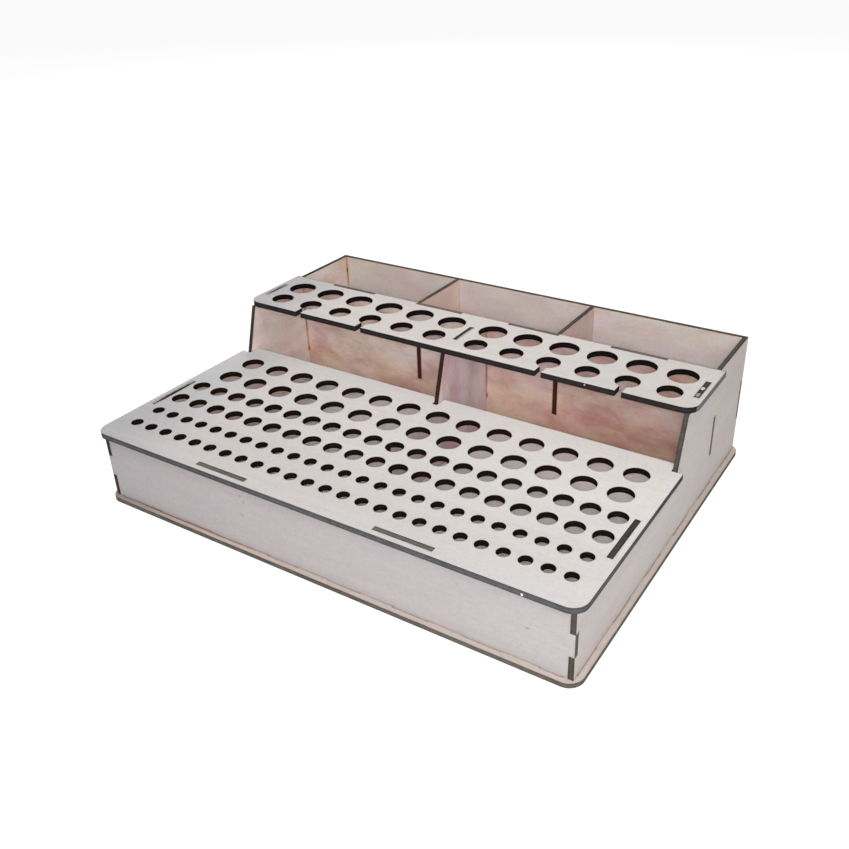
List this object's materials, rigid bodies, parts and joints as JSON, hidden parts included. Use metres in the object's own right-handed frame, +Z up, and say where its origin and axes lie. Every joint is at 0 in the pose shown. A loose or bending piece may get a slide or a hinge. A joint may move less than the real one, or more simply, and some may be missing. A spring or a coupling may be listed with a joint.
{
  "type": "desktop tool organizer",
  "caption": "Slotted plywood desktop organizer: perforated tool deck, raised perforated shelf and open bins behind it, on a base with a small rim.",
  "frame": {"origin": "middle of the underside of the base", "axes": "+X to the right along the organizer's width, +Y from the front panel to the bins, +Z up"},
  "size_m": [0.44, 0.345, 0.114],
  "materials": {
    "top_ply": "bare sanded birch ply, pale",
    "wall_ply": "bare birch ply, faintly pink",
    "inner_ply": "bare birch ply, tan, smoked at the joints"
  },
  "bodies": {
    "root": {"base_panel": "wall_ply", "front_panel": "wall_ply", "left_side_panel": "wall_ply", "right_side_panel": "wall_ply", "back_panel": "wall_ply", "bin_front_wall": "inner_ply", "left_divider": "inner_ply", "right_divider": "inner_ply", "centre_gusset": "inner_ply", "tool_deck": "top_ply", "tool_shelf": "top_ply"}
  },
  "joints": []
}
